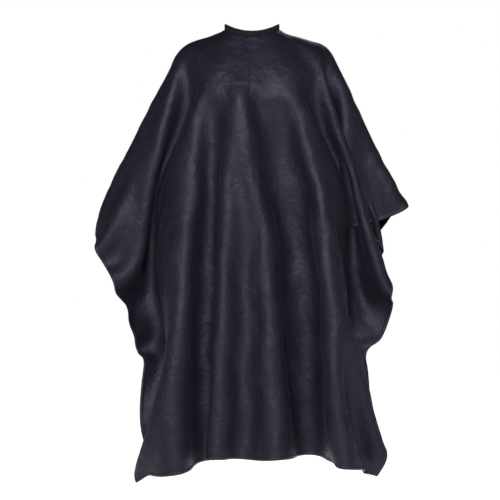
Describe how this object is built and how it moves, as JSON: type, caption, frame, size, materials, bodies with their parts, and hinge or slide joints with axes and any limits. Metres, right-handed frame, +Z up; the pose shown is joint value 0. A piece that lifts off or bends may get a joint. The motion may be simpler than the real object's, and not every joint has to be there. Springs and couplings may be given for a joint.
{
  "type": "barber cape",
  "caption": "Hairdressing cape in dark satin nylon, draped as worn over shoulders, with a snap-closed elastic neck band and a back slit.",
  "frame": {"origin": "centre of the neck opening, level with the middle of the neck band's height at its sides", "axes": "+Z up along the wearer's neck, -Y out of the cape's front, +X to the right seen from the front"},
  "size_m": [0.868, 0.3269, 1.2719],
  "materials": {
    "nylon_cloth": "thin satin nylon taffeta",
    "band_tape": "matte ribbed tape",
    "elastic": "woven elastic",
    "snap_metal": "plated brass, bright",
    "spring_wire": "plain wire"
  },
  "bodies": {
    "cape": {"cape_sheet": "nylon_cloth", "neck_band": "band_tape", "neck_elastic": "elastic", "snap_studs": "snap_metal", "stud_rivets": "snap_metal"},
    "closure_tab": {"closure_strap": "band_tape", "snap_caps": "snap_metal", "snap_sockets": "snap_metal", "socket_springs": "spring_wire"}
  },
  "joints": [
    {"name": "closure_tab_swing", "type": "hinge", "parent": "cape", "child": "closure_tab", "pos_m": [-0.01928, 0.0625, -0.0206], "axis": [0, 0, 1], "range_deg": [0, 140]}
  ]
}
